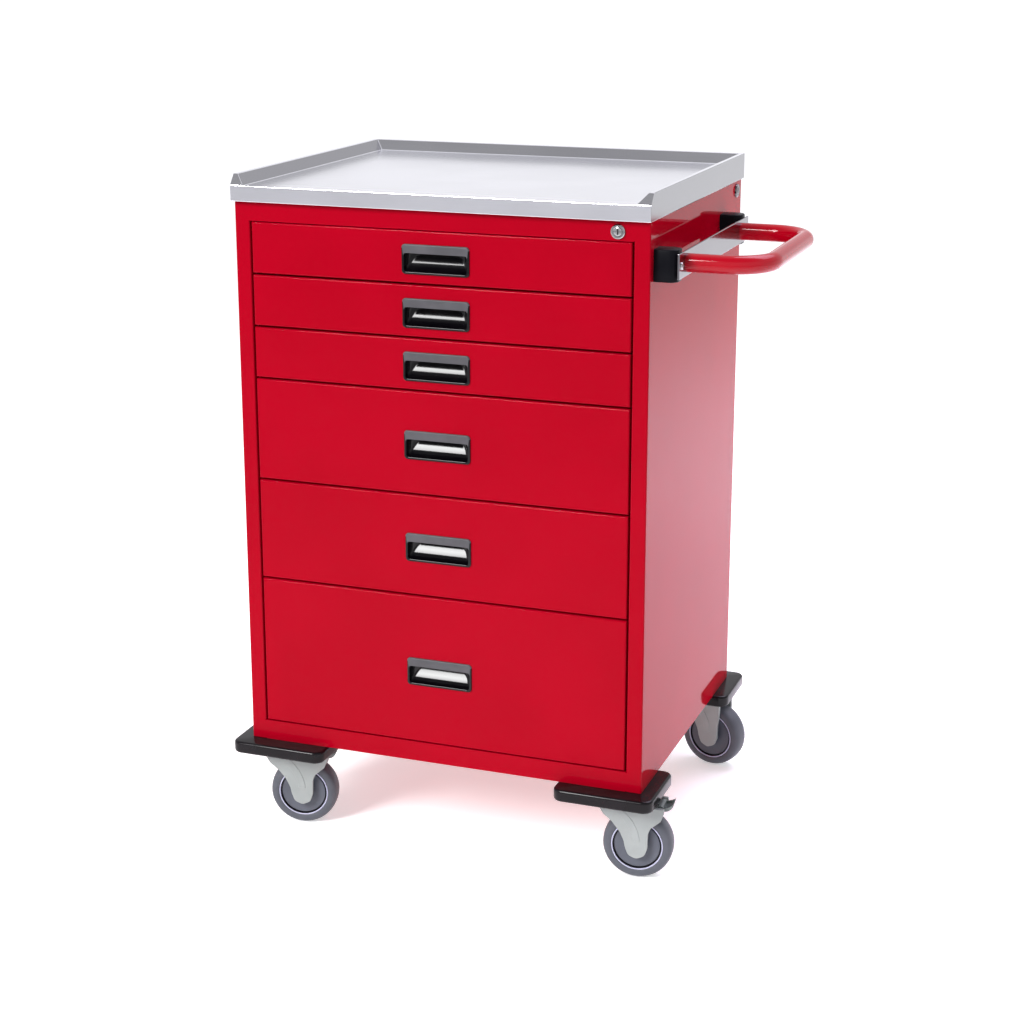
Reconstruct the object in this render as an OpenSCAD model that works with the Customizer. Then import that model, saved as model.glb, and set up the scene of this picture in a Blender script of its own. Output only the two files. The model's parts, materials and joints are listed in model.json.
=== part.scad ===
// Hospital crash cart: a six-drawer steel cabinet on four swivel casters, with a stainless
// worktop, a side accessory rail and a tubular push handle.
// Cabinet axes: X to the right (towards the handle), Y to the back, Z up.
// The origin is at floor level, under the middle of the whole cart.

/* [Cabinet] */
// Width of the cabinet
cab_w = 600; // [500:5:720]
// Depth of the cabinet
cab_d = 480; // [420:5:580]
// Visible height of the cabinet, from its floor to the worktop's apron
cab_h = 796; // [720:1:950]
// Thickness of the cabinet sheet
sheet = 1.2; // [0.8:0.1:1.6]
// Outside radius of the folded edges
fold_r = 2.5; // [2:0.5:4]
// Width of the front stile on each side of the drawers
stile_w = 22.5; // [20:0.5:40]
// Depth of the lips folded back behind the front frame
lip_d = 15; // [10:1:18]
// Width of the flanges at the back and at the top
flange_w = 18; // [12:1:25]
// Height of the rail below the drawers
bottom_rail_h = 29; // [20:1:50]
// Visible height of the rail above the drawers
top_rail_h = 27; // [25:1:40]

/* [Worktop] */
// Height of the worktop's apron
apron_h = 22; // [16:1:30]
// How far the apron stands out at the sides
top_over_x = 2; // [2:0.5:6]
// How far the apron stands out at the front and at the back
top_over_y = 8; // [4:1:12]
// Thickness of the stainless sheet
top_sheet = 1.5; // [1:0.1:2]
// Height of the rim above the table surface
rim_h = 15; // [10:1:30]
// Width of the flat hem on top of the rim
hem_w = 7; // [5:1:12]
// Distance from the rim's outer face to the foot of its slope
rim_w = 20; // [16:1:30]
// How far the rim's front ends lean back
rim_lean = 12; // [6:1:20]

/* [Drawers] */
// Height shares of the drawers, from the top one down
shares = [1, 1, 1, 2, 2, 3];
// Gap between a drawer front and its neighbours
front_gap = 2.5; // [1.5:0.5:4]
// Depth of a drawer front's folded pan
pan_d = 22; // [21:1:30]
// Thickness of the drawer box sheet
box_sheet = 1; // [0.8:0.1:1.5]
// Space left under a drawer box inside its share
box_lift = 8; // [6:1:12]
// Space left above a drawer box inside its share
box_head = 14; // [12:1:25]
// Space left behind the drawer boxes
box_back = 24; // [15:1:60]
// How far a drawer opens
drawer_travel = 400; // [300:5:400]

/* [Slides] */
// Space for a telescopic slide on each side of a drawer box
slide_space = 12.5; // [12.5:0.1:14]
// Height of a slide
slide_h = 35; // [35:1:45]
// Sheet thickness of a slide member
slide_sheet = 1.5; // [1:0.1:1.5]
// Running clearance between slide members
slide_gap = 0.4; // [0.3:0.05:0.5]
// Height of a slide's middle above the underside of the drawer box
slide_z = 19; // [18:0.5:24]
// Width of the uprights that carry the slides
upright_w = 30; // [24:1:40]

/* [Recessed pulls] */
// Width of a pull's frame
pull_w = 98; // [80:1:130]
// Height of a pull's frame
pull_h = 41; // [38:1:55]
// Radius of the frame's corners
pull_r = 5; // [2:0.5:8]
// How far the frame stands out of the drawer front
pull_proud = 2.5; // [1.5:0.1:4]
// Depth of the cup behind the drawer front's outer face
cup_d = 19; // [15:1:20]
// Wall thickness of the cup
cup_wall = 1.5; // [1:0.1:2]
// Height of the frame above the hand opening
pull_lip_h = 12.5; // [8:0.5:16]
// Width of the frame beside and below the hand opening
pull_edge = 3.5; // [3:0.5:6]
// Drop of the pull below the middle of its drawer front
pull_drop = 3; // [0:0.5:6]

/* [Locks] */
// Diameter of a lock's flange
lock_flange_d = 20; // [18:0.5:24]
// Thickness of a lock's flange
lock_flange_t = 3; // [2:0.5:4]
// Diameter of a lock's body, through the sheet
lock_body_d = 18; // [16:0.5:19]
// Length of a lock's body behind the sheet's outer face
lock_body_l = 22; // [18:1:26]
// Radius of the turning barrel
barrel_r = 6; // [5:0.5:7]
// Radius of the crank pin that lifts the lock bar
crank_r = 6; // [5:0.5:7]
// Distance of the front lock from the cabinet's right side
lock_inset = 44; // [40:1:60]
// Height of both locks' middle below the apron
lock_drop = 14.5; // [12:0.5:18]
// Distance of the side lock from the cabinet's back
side_lock_back = 30; // [22:1:40]

/* [Rail and push handle] */
// Height of the rail's middle above the cabinet's floor
rail_z = 737; // [650:1:760]
// Height of a rail bracket
bracket_h = 43; // [36:1:60]
// Length of a bracket along the cabinet's side
bracket_l = 32; // [28:1:40]
// How far a bracket stands out from the side
bracket_w = 32; // [25:1:45]
// Corner radius of a bracket
bracket_r = 12; // [6:1:15]
// Distance from the front edge to the rail's front end
rail_y0 = 14; // [10:1:40]
// Length of the rail
rail_l = 372; // [340:1:400]
// Height of the rail's flat bar
rail_h = 34; // [28:1:40]
// Thickness of the rail's flat bar
rail_t = 3; // [3:0.5:5]
// Diameter of the handle tube
tube_d = 25; // [22:1:30]
// Wall of the handle tube
tube_wall = 2; // [1.5:0.1:3]
// Distance between the handle's two legs
handle_span = 292; // [240:1:296]
// Distance from the rail to the middle of the handle's crossbar
handle_reach = 103; // [90:1:130]
// Bend radius of the handle tube's centreline
handle_bend = 55; // [45:1:70]

/* [Corner bumpers] */
// Length of a bumper along the cabinet's width
bumper_x = 145; // [130:1:170]
// Length of a bumper along the cabinet's depth
bumper_y = 118; // [105:1:140]
// Thickness of a bumper
bumper_t = 18; // [16:1:24]
// Corner radius of a bumper
bumper_r = 15; // [8:1:20]
// How far a bumper stands out at the cabinet's side
bumper_over_x = 22; // [15:1:30]
// How far a bumper stands out at the front and at the back
bumper_over_y = 28; // [20:1:35]

/* [Casters] */
// Distance of a swivel axis from the cabinet's side
swivel_x = 40; // [35:0.5:55]
// Distance of a swivel axis from the cabinet's front or back
swivel_y = 24; // [20:0.5:35]
// How far each caster is turned from +X towards +Y, in degrees
turned = [13, 7, 10, -13];
// Wheel diameter
wheel_d = 100; // [90:1:125]
// Wheel width
wheel_w = 32; // [28:1:36]
// Diameter of the wheel core inside the tyre
core_d = 74; // [66:1:80]
// Distance of the axle behind the swivel axis
trail = 30; // [25:1:38]
// Space between the wheel's top and the fork's hood
hood_gap = 3; // [3:0.5:6]
// Thickness of the fork's hood
hood_t = 9; // [9:1:20]
// Step from the swivel head down to the hood
head_step = 1.7; // [1.5:0.1:6]
// Height of the fixed bearing ring
ring_h = 3; // [3:0.5:6]
// Clearance between the bearing ring and the fork
swivel_gap = 0.3; // [0.2:0.05:0.5]
// Radius of the swivel head
head_r = 29; // [26:1:32]
// Radius of the kingpin
kingpin_r = 8; // [6:0.5:9]
// Radius of the axle
axle_r = 5; // [4:0.5:6]
// Radial clearance of the axle and of the kingpin
pin_clear = 0.05; // [0.02:0.01:0.1]
// Thickness of a fork leg
leg_t = 5; // [4:0.5:7]
// Space between the wheel and a fork leg
leg_gap = 2.5; // [2:0.5:4]

/* [Hidden] */
drawer_count = 6;
SLOTS = ["front_left", "front_right", "rear_left", "rear_right"];

$fn = 64;
eps = 0.01;                                  // overshoot of cutting shapes
red = [0.77, 0.02, 0.11];
steel = [0.82, 0.82, 0.85];
black = [0.07, 0.07, 0.07];
grey = [0.63, 0.65, 0.65];

// Heights, from the cabinet's underside
deck_z = cab_h + apron_h;                    // table surface
body_h = deck_z - top_sheet;                 // the sheet body ends under the worktop
fork_top = -bumper_t - ring_h - swivel_gap;
hood_bottom = fork_top - head_step - hood_t;
axle_z = hood_bottom - hood_gap - wheel_d / 2;
ride_h = wheel_d / 2 - axle_z;               // height of the underside above the floor

// Front opening and drawers, numbered from the top one down
function share_sum(k) = k == 0 ? 0 : shares[k - 1] + share_sum(k - 1);
open_w = cab_w - 2 * stile_w;
open_h = cab_h - bottom_rail_h - top_rail_h;
unit_h = open_h / share_sum(drawer_count);
front_w = open_w - 2 * front_gap;
box_w = open_w - 2 * slide_space;
box_x = stile_w + slide_space;
box_l = cab_d - pan_d - box_back;
function cell_h(k) = shares[k - 1] * unit_h;
function cell_z(k) = cab_h - top_rail_h - share_sum(k) * unit_h;
function box_h(k) = cell_h(k) - box_lift - box_head;
function slide_mid_z(k) = cell_z(k) + box_lift + slide_z;

// Slides start behind the lock strip
bar_t = 2;                                   // lock bar thickness
bar_gap = 0.3;                               // clearance behind the lock bar
upright_y = pan_d + 12;                      // front face of the front uprights
slide_y = upright_y + 2;                     // front end of every slide
slide_l = pan_d + box_l - 4 - slide_y;       // length of every slide
rear_upright_y = cab_d - 88;

// Middle of the whole cart, in the cabinet's own coordinates
cart_right = cab_w + bracket_w + rail_t + handle_reach + tube_d / 2;
centre_x = (cart_right - bumper_over_x) / 2;
centre_y = cab_d / 2;

// Moves cabinet coordinates (front left corner of the underside) to the cart's frame
module in_cart() translate([-centre_x, -centre_y, ride_h]) children();

// Mirrors from the left half of the cabinet to the right half
module on_right() translate([cab_w, 0, 0]) mirror([1, 0, 0]) children();
module both_sides() { children(); on_right() children(); }

// Rectangle from corner a to corner b with round corners
module round_rect(a, b, r) {
    translate([a[0] + r, a[1]]) square([b[0] - a[0] - 2 * r, b[1] - a[1]]);
    translate([a[0], a[1] + r]) square([b[0] - a[0], b[1] - a[1] - 2 * r]);
    for (x = [a[0] + r, b[0] - r], y = [a[1] + r, b[1] - r]) translate([x, y]) circle(r);
}

// Outline of a folded corner: the outer faces run from the origin along +X and +Y
module fold2d(size, t, r) intersection() {
    square(size);
    difference() {
        round_rect([0, 0], size + [2 * r, 2 * r], r);
        round_rect([t, t], size + [3 * r, 3 * r], r - t);
    }
}

// ---- cabinet body -------------------------------------------------------------

// Left side: skin, front stile with its lip, back flange and top flange
module side_shell() {
    linear_extrude(body_h) {
        fold2d([stile_w - fold_r, cab_d / 2], sheet, fold_r);
        translate([stile_w, 0]) mirror([1, 0]) fold2d([stile_w / 2, lip_d], sheet, fold_r);
        translate([0, cab_d]) mirror([0, 1]) fold2d([flange_w, cab_d / 2], sheet, fold_r);
    }
    translate([sheet / 2, lip_d + fold_r, body_h - sheet])
        cube([flange_w - sheet / 2, cab_d - lip_d - 3 * fold_r, sheet]);
}
module side_panel_left() in_cart() color(red) side_shell();
module side_panel_right() in_cart() on_right() color(red) difference() {
    side_shell();
    translate([-1, side_lock_y, cab_h - lock_drop]) rotate([0, 90, 0])
        cylinder(d = lock_body_d, h = sheet + 2);
}
side_lock_y = cab_d - side_lock_back;

// Back: an outer panel between the flanges and a wider sheet behind it
module back_panel() in_cart() color(red) {
    seam = 0.5;
    lap = 10;
    translate([flange_w + seam, cab_d - sheet, 0])
        cube([cab_w - 2 * (flange_w + seam), sheet, body_h]);
    translate([flange_w - lap, cab_d - 2 * sheet, 0])
        cube([cab_w - 2 * (flange_w - lap), sheet, body_h]);
}

// Floor, with the rail below the drawers folded up at its front
module floor_pan() in_cart() color(red) {
    translate([sheet, lip_d, 0]) cube([cab_w - 2 * sheet, cab_d - lip_d - 2 * sheet, sheet]);
    translate([stile_w, 0, 0]) {
        cube([open_w, lip_d + eps, sheet]);
        cube([open_w, sheet, bottom_rail_h]);
        translate([0, 0, bottom_rail_h - sheet]) cube([open_w, lip_d, sheet]);
    }
}

// Rail above the drawers, with its lips and the hole for the front lock
module top_rail() in_cart() color(red) difference() {
    rail_z0 = cab_h - top_rail_h;
    translate([stile_w, 0, rail_z0]) {
        cube([open_w, sheet, body_h - rail_z0]);
        cube([open_w, lip_d, sheet]);
        translate([0, 0, body_h - rail_z0 - sheet]) cube([open_w, lip_d, sheet]);
    }
    translate([cab_w - lock_inset, -1, cab_h - lock_drop]) rotate([-90, 0, 0])
        cylinder(d = lock_body_d, h = lip_d + 2);
}

// ---- worktop ------------------------------------------------------------------

// Pressed tray: a raised, sloping rim on three sides, open at the front
rim_slope = (rim_w - hem_w) / rim_h;
// Widening of the tray's cut that leaves one sheet thickness under the slope
slope_shift = top_sheet * sqrt(1 + rim_slope * rim_slope) - top_sheet * rim_slope;

// Space above the table surface; grow is 0 for the top face and the sheet for its underside
module tray_space(grow) {
    over = 5;
    x0 = -top_over_x;
    x1 = cab_w + top_over_x;
    y1 = cab_d + top_over_y;
    s = grow == 0 ? 0 : slope_shift;
    foot = rim_w - s;
    head = rim_w - rim_slope * (rim_h + over + grow) - s;
    z0 = deck_z - grow;
    z1 = deck_z + rim_h + over;
    intersection() {
        translate([0, y1 + over, 0]) rotate([90, 0, 0]) linear_extrude(cab_d + 60)
            polygon([[x0 + foot, z0], [x1 - foot, z0], [x1 - head, z1], [x0 + head, z1]]);
        translate([x0 - over, 0, 0]) rotate([90, 0, 90]) linear_extrude(cab_w + 60)
            polygon([[-60, z0], [y1 - foot, z0], [y1 - head, z1], [-60, z1]]);
    }
}
// Outer block, its front ends leaning back; inset shrinks it to the underside
module top_block(inset) {
    z0 = cab_h - (inset == 0 ? 0 : 1);
    y0 = inset - top_over_y;
    y1 = cab_d + top_over_y - inset;
    z1 = deck_z + rim_h - inset;
    translate([inset - top_over_x, 0, 0]) rotate([90, 0, 90])
        linear_extrude(cab_w + 2 * (top_over_x - inset))
        polygon([[y0, z0], [y1, z0], [y1, z1], [y0 + rim_lean, z1], [y0, deck_z - inset]]);
}
module worktop() in_cart() color(steel) difference() {
    top_block(0);
    tray_space(0);
    difference() {
        top_block(top_sheet);
        tray_space(top_sheet);
    }
}

// ---- bumpers and caster mounts ------------------------------------------------

// Mirrors children from the front left corner of the underside to all four
module at_corners() for (right = [0, 1], rear = [0, 1])
    translate([right * cab_w, rear * cab_d, 0])
        mirror([right, 0, 0]) mirror([0, rear, 0]) children();

boss_r = 24;                                 // top boss of a caster mount
seat_gap = 0.3;                              // clearance between bumper and boss
module corner_bumpers() in_cart() color(black) at_corners()
    translate([0, 0, -bumper_t]) linear_extrude(bumper_t) difference() {
        round_rect([-bumper_over_x, -bumper_over_y],
                   [bumper_x - bumper_over_x, bumper_y - bumper_over_y], bumper_r);
        translate([swivel_x, swivel_y]) circle(boss_r + seat_gap);
    }

kingpin_nut_r = 11;
nut_h = 4;
nut_z = hood_bottom - seat_gap - nut_h;
module caster_mounts() in_cart() color(steel) at_corners() translate([swivel_x, swivel_y, 0]) {
    translate([0, 0, -bumper_t]) cylinder(r = boss_r, h = bumper_t);
    translate([0, 0, -bumper_t - ring_h]) cylinder(r = head_r, h = ring_h);
    translate([0, 0, nut_z]) {
        cylinder(r = kingpin_r, h = -bumper_t - nut_z);
        cylinder(r = kingpin_nut_r, h = nut_h);
    }
}

// ---- casters ------------------------------------------------------------------

hood_back = 22;                              // hood length ahead of the swivel axis
hood_front = 50;                             // hood length on the axle's side
braked_hood_front = 69;                      // the same with a pedal pivot in the hood
leg_y = wheel_w / 2 + leg_gap;               // inner face of a fork leg
pedal_half_w = 14;                           // half the brake pedal's width
pedal_gap = 0.5;                             // space beside and behind the brake pedal
pedal_x = 62;                                // brake pedal's pivot behind the swivel axis
pedal_slot_x = 55;                           // where the hood is cut away for the pedal
pedal_pin_r = 3;

// Outline of a leg, about the axle, under a hood that ends at front
module leg2d(front) {
    foot_r = 17;
    foot_x = 0.5;
    top = hood_bottom - axle_z;              // the hood's underside
    translate([foot_x, 0]) circle(foot_r);
    polygon([[foot_x - foot_r, 0], [-19, top - 32], [-33, top - 14], [-hood_back - trail, top],
             [-hood_back - trail, top + 2], [front - trail, top + 2],
             [front - trail, top - 3], [min(28, front - trail), top - 14],
             [foot_x + foot_r, top - 21], [foot_x + foot_r, 0]]);
}
// The fork about its swivel axis; a braked one leaves room for the pedal
module fork(braked) difference() {
    outer_w = leg_y + leg_t;
    front = braked ? braked_hood_front : hood_front;
    union() {
        translate([0, 0, hood_bottom]) cylinder(r = head_r, h = fork_top - hood_bottom);
        translate([0, 0, hood_bottom]) linear_extrude(hood_t)
            round_rect([-hood_back, -outer_w], [front, outer_w], 6);
        for (side = [-1, 1]) translate([trail, side * (leg_y + leg_t / 2), axle_z])
            rotate([90, 0, 0]) linear_extrude(leg_t, center = true) leg2d(front);
    }
    translate([0, 0, hood_bottom - 1]) cylinder(r = kingpin_r + pin_clear, h = 40);
    translate([trail, 0, axle_z]) rotate([90, 0, 0])
        cylinder(r = axle_r + pin_clear, h = 2 * (outer_w - axle_skin), center = true);
    if (braked) {
        translate([pedal_slot_x, -pedal_half_w - pedal_gap, hood_bottom - 1])
            cube([40, 2 * (pedal_half_w + pedal_gap), 40]);
        translate([pedal_x, 0, pedal_z]) rotate([90, 0, 0])
            cylinder(r = pedal_pin_r + pin_clear, h = 2 * (outer_w - axle_skin), center = true);
    }
}
axle_skin = 1.5;                             // plastic left outside the axle's ends
axle_end_gap = 0.2;
pedal_z = hood_bottom + 4.5;                 // height of the pedal's pivot

module axle() translate([trail, 0, axle_z]) rotate([90, 0, 0])
    cylinder(r = axle_r, h = 2 * (leg_y + leg_t - axle_skin - axle_end_gap), center = true);

// Half outlines are turned about the axle: radius along X, width along Y
module wheel_turn() translate([trail, 0, axle_z]) rotate([90, 0, 0]) rotate_extrude($fn = 96)
    children();
module core() wheel_turn() {
    hub_r = 13;
    web_w = 20;
    rim_t = 6;
    half = wheel_w / 2;
    bore = axle_r + pin_clear;
    translate([bore, -leg_y + 0.3]) square([hub_r - bore, 2 * leg_y - 0.6]);
    translate([bore, -web_w / 2]) square([core_d / 2 - bore, web_w]);
    translate([core_d / 2 - rim_t, -half + 3]) square([rim_t, wheel_w - 6]);
}
module tyre() wheel_turn() {
    crown = 7;
    intersection() {
        translate([core_d / 2, -wheel_w / 2]) square([(wheel_d - core_d) / 2, wheel_w]);
        round_rect([0, -wheel_w / 2], [wheel_d / 2, wheel_w / 2], crown);
    }
}

// Length of the brake shoe whose corner stops just above the tread when the pedal is down
pedal_press = 15;                            // travel of the brake pedal, in degrees
shoe_t = 5;
function shoe_length() =
    let(tread = wheel_d / 2 + 1,
        x = pedal_x - trail - shoe_t / 2 * cos(pedal_press),
        z = pedal_z - axle_z + shoe_t / 2 * sin(pedal_press),
        k = x * sin(pedal_press) + z * cos(pedal_press))
    k - sqrt(k * k - x * x - z * z + tread * tread);

// Pedal with an upturned toe in front of the hood and a brake shoe above the tread
module pedal() {
    plate_t = 4;
    toe_x = 80;
    toe_up = -bumper_t - 1.5 - pedal_z;      // stays clear under the bumper
    shoe_l = shoe_length();
    translate([pedal_x, 0, pedal_z]) {
        rotate([90, 0, 0]) cylinder(r = 5, h = 2 * pedal_half_w, center = true);
        rotate([90, 0, 0]) cylinder(r = pedal_pin_r,
            h = 2 * (leg_y + leg_t - axle_skin - axle_end_gap), center = true);
        rotate([90, 0, 0]) linear_extrude(2 * pedal_half_w, center = true) polygon(
            [[0, 1], [toe_x - pedal_x - 8, 1], [toe_x - pedal_x - 2, toe_up],
             [toe_x - pedal_x, toe_up], [toe_x - pedal_x - 4, 1 - plate_t], [0, 1 - plate_t]]);
        translate([-shoe_t / 2, -wheel_w / 4, -shoe_l]) cube([shoe_t, wheel_w / 2, shoe_l]);
    }
}

// Puts a caster part under the corner that the slot names, and turns it
function slot_no(slot) = search([slot], SLOTS)[0];
function is_front(slot) = slot_no(slot) < 2;
module caster(slot) in_cart() translate(
        [slot_no(slot) % 2 == 0 ? swivel_x : cab_w - swivel_x,
         is_front(slot) ? swivel_y : cab_d - swivel_y, 0])
    rotate([0, 0, turned[slot_no(slot)]]) children();
module caster_fork(slot) caster(slot) color(grey) fork(is_front(slot));
module caster_axle(slot) caster(slot) color(steel) axle();
module caster_core(slot) caster(slot) color([0.36, 0.38, 0.44]) core();
module caster_tyre(slot) caster(slot) color([0.3, 0.32, 0.37]) tyre();
module brake_pedal(slot) caster(slot) color([0.42, 0.46, 0.44]) pedal();

// ---- slides -------------------------------------------------------------------

// C-shaped uprights between the side panels and the slides
module slide_uprights() in_cart() color(steel) both_sides()
    for (y = [upright_y, rear_upright_y]) translate([0, y, sheet]) {
        translate([stile_w - sheet, 0, 0]) cube([sheet, upright_w, body_h - 2 * sheet]);
        for (dy = [0, upright_w - sheet])
            translate([sheet, dy, 0]) cube([stile_w - sheet, sheet, body_h - 2 * sheet]);
    }

// C channel of a slide on the left side: web from u, flanges to u_end, outer half height h
module channel(web_u, u_end, h) {
    z_fl = h - slide_sheet;
    translate([stile_w + web_u, slide_y, -h]) cube([slide_sheet, slide_l, 2 * h]);
    for (z = [-h, z_fl]) translate([stile_w + min(web_u, u_end), slide_y, z])
        cube([abs(u_end - web_u) + (u_end < web_u ? slide_sheet : 0), slide_l, slide_sheet]);
}
outer_half = slide_h / 2;
mid_half = outer_half - slide_sheet - slide_gap;
inner_half = mid_half - slide_sheet - slide_gap;
mid_u = slide_sheet + slide_gap + 0.1;
inner_u = slide_space - slide_sheet;
outer_reach = 10;                            // how far the outer flanges reach from the web
module outer_slides() in_cart() color(steel) both_sides()
    for (k = [1 : drawer_count]) translate([0, 0, slide_mid_z(k)]) channel(0, outer_reach, outer_half);
module drawer_mid_slides(k) in_cart() color(steel) both_sides()
    translate([0, 0, slide_mid_z(k)]) channel(mid_u, inner_u - slide_gap, mid_half);
module inner_slides(k) both_sides() translate([0, 0, slide_mid_z(k)])
    channel(inner_u, mid_u + slide_sheet + slide_gap, inner_half);

// ---- drawers ------------------------------------------------------------------

// Folded pan of a drawer front, its four edges bent back, with the pull's hole
hole_inset = 2.5;                            // frame's lap around the hole, all round
pan_hem = slide_space - front_gap + 4;       // hem behind the pan, which the box is fixed to
module pan_block(size, r) intersection() {
    linear_extrude(size[2]) fold_block2d([size[0], size[1]], r);
    rotate([90, 0, 90]) linear_extrude(size[0]) fold_block2d([size[1], size[2]], r, true);
}
// Rectangle with the two corners of its front edge rounded
module fold_block2d(size, r, upright = false) intersection() {
    square(size);
    if (upright) round_rect([0, 0], [size[0] + 2 * r, size[1]], r);
    else round_rect([0, 0], [size[0], size[1] + 2 * r], r);
}
function pull_z(k) = cell_z(k) + cell_h(k) / 2 - pull_drop;
module drawer_front(k) in_cart() color(red) {
    h = cell_h(k) - front_gap;
    difference() {
        translate([stile_w + front_gap, 0, cell_z(k) + front_gap / 2]) difference() {
            pan_block([front_w, pan_d, h], fold_r);
            translate([sheet, sheet, sheet]) pan_block(
                [front_w - 2 * sheet, pan_d - 2 * sheet, h - 2 * sheet], fold_r - sheet);
            translate([pan_hem, pan_d / 2, pan_hem])
                cube([front_w - 2 * pan_hem, pan_d, h - 2 * pan_hem]);
        }
        translate([(cab_w - pull_w) / 2 + hole_inset, -1, pull_z(k) - pull_h / 2 + hole_inset])
            cube([pull_w - 2 * hole_inset, sheet + 2, pull_h - 2 * hole_inset]);
    }
}

// Recessed pull: a frame over the drawer front and a cup through it
module drawer_pull(k) in_cart() color(black) translate([cab_w / 2, 0, pull_z(k)]) {
    fit = 0.3;
    cup_x = pull_w / 2 - hole_inset - fit;
    cup_z = pull_h / 2 - hole_inset - fit;
    hand_z0 = pull_edge - pull_h / 2;
    hand_z1 = pull_h / 2 - pull_lip_h;
    difference() {
        union() {
            rotate([90, 0, 0]) linear_extrude(pull_proud)
                round_rect([-pull_w / 2, -pull_h / 2], [pull_w / 2, pull_h / 2], pull_r);
            translate([-cup_x, -eps, -cup_z]) cube([2 * cup_x, cup_d + eps, 2 * cup_z]);
        }
        translate([-cup_x + cup_wall, 0, -cup_z + cup_wall])
            cube([2 * (cup_x - cup_wall), cup_d - cup_wall, 2 * (cup_z - cup_wall)]);
        translate([pull_edge - pull_w / 2, -pull_proud - 1, hand_z0])
            cube([pull_w - 2 * pull_edge, pull_proud + 2, hand_z1 - hand_z0]);
    }
}

// Drawer box with its inner slide members and the strike for the lock bar
strike_t = 1.5;
strike_x = 9;
strike_z = 8;
module drawer_box(k) in_cart() color(steel) {
    h = box_h(k);
    z0 = cell_z(k) + box_lift;
    translate([box_x, pan_d, z0]) difference() {
        cube([box_w, box_l, h]);
        translate([box_sheet, box_sheet, box_sheet])
            cube([box_w - 2 * box_sheet, box_l - 2 * box_sheet, h]);
    }
    inner_slides(k);
    translate([box_x + box_w - eps, upright_y + seat_gap, z0 + small_box_h - strike_z])
        cube([strike_x + eps, strike_t, strike_z]);
}
small_box_h = unit_h - box_lift - box_head;  // height of the lowest boxes

// ---- locks --------------------------------------------------------------------

// A cam lock about its own axis: the flange outside (-Y), the body behind the sheet (+Y)
module lock_housing() rotate([-90, 0, 0]) difference() {
    union() {
        translate([0, 0, -lock_flange_t]) cylinder(d = lock_flange_d, h = lock_flange_t);
        cylinder(d = lock_body_d - 0.2, h = lock_body_l);
    }
    translate([0, 0, -lock_flange_t - 1]) cylinder(r = barrel_r + pin_clear, h = 60);
}
crank_plate_t = 2;
crank_pin_r = 2;
module lock_barrel(with_crank) rotate([-90, 0, 0]) {
    difference() {
        translate([0, 0, -lock_flange_t - 1])
            cylinder(r = barrel_r, h = lock_body_l + lock_flange_t + 1 + seat_gap + crank_plate_t);
        translate([-0.6, -3.5, -lock_flange_t - 2]) cube([1.2, 7, 7]);
    }
    translate([0, 0, lock_body_l + seat_gap]) {
        cylinder(r = crank_r + 3, h = crank_plate_t);
        if (with_crank) translate([crank_r / sqrt(2), crank_r / sqrt(2), 0])
            cylinder(r = crank_pin_r, h = upright_y - lock_body_l - seat_gap);
    }
}
module at_front_lock() in_cart() translate([cab_w - lock_inset, 0, cab_h - lock_drop]) children();
module at_side_lock() in_cart() translate([cab_w, side_lock_y, cab_h - lock_drop])
    rotate([0, 0, 90]) children();
module lock_housings() color(steel) {
    at_front_lock() lock_housing();
    at_side_lock() lock_housing();
}
module front_lock_barrel() color(steel) at_front_lock() lock_barrel(true);
module side_lock_barrel() color(steel) at_side_lock() lock_barrel(false);

// Bar behind the right stile; its hooks rise in front of the drawers' strikes
hook_rise = crank_r * sqrt(2);
hook_h = 4;
hook_gap = 1.5;                              // space between a resting hook and its strike
pin_slot_gap = 0.5;
module lock_bar() in_cart() color(steel) {
    bar_x0 = cab_w - stile_w + 1.5;
    bar_x1 = cab_w - sheet - 1.5;
    bar_y = upright_y - bar_gap - bar_t;
    foot_z = cell_z(drawer_count) + box_lift;
    pin_x = cab_w - lock_inset + crank_r / sqrt(2);
    pin_z = cab_h - lock_drop - crank_r / sqrt(2);
    arm_half = 6;
    slot_r = crank_pin_r + pin_slot_gap;
    difference() {
        union() {
            translate([bar_x0, bar_y, foot_z])
                cube([bar_x1 - bar_x0, bar_t, pin_z + arm_half - foot_z]);
            translate([cab_w - lock_inset - crank_r, bar_y, pin_z - arm_half])
                cube([bar_x1 - cab_w + lock_inset + crank_r, bar_t, 2 * arm_half]);
            for (k = [1 : drawer_count])
                translate([box_x + box_w + 2, bar_y,
                           cell_z(k) + box_lift + small_box_h - strike_z - hook_gap - hook_h])
                    cube([bar_x1 - box_x - box_w - 2, bar_t, hook_h]);
        }
        translate([pin_x - slot_r, bar_y - 1, pin_z - slot_r])
            cube([cab_w - lock_inset + crank_r - pin_x + 2 * slot_r, bar_t + 2, 2 * slot_r]);
    }
}

// ---- side rail and push handle ------------------------------------------------

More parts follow.
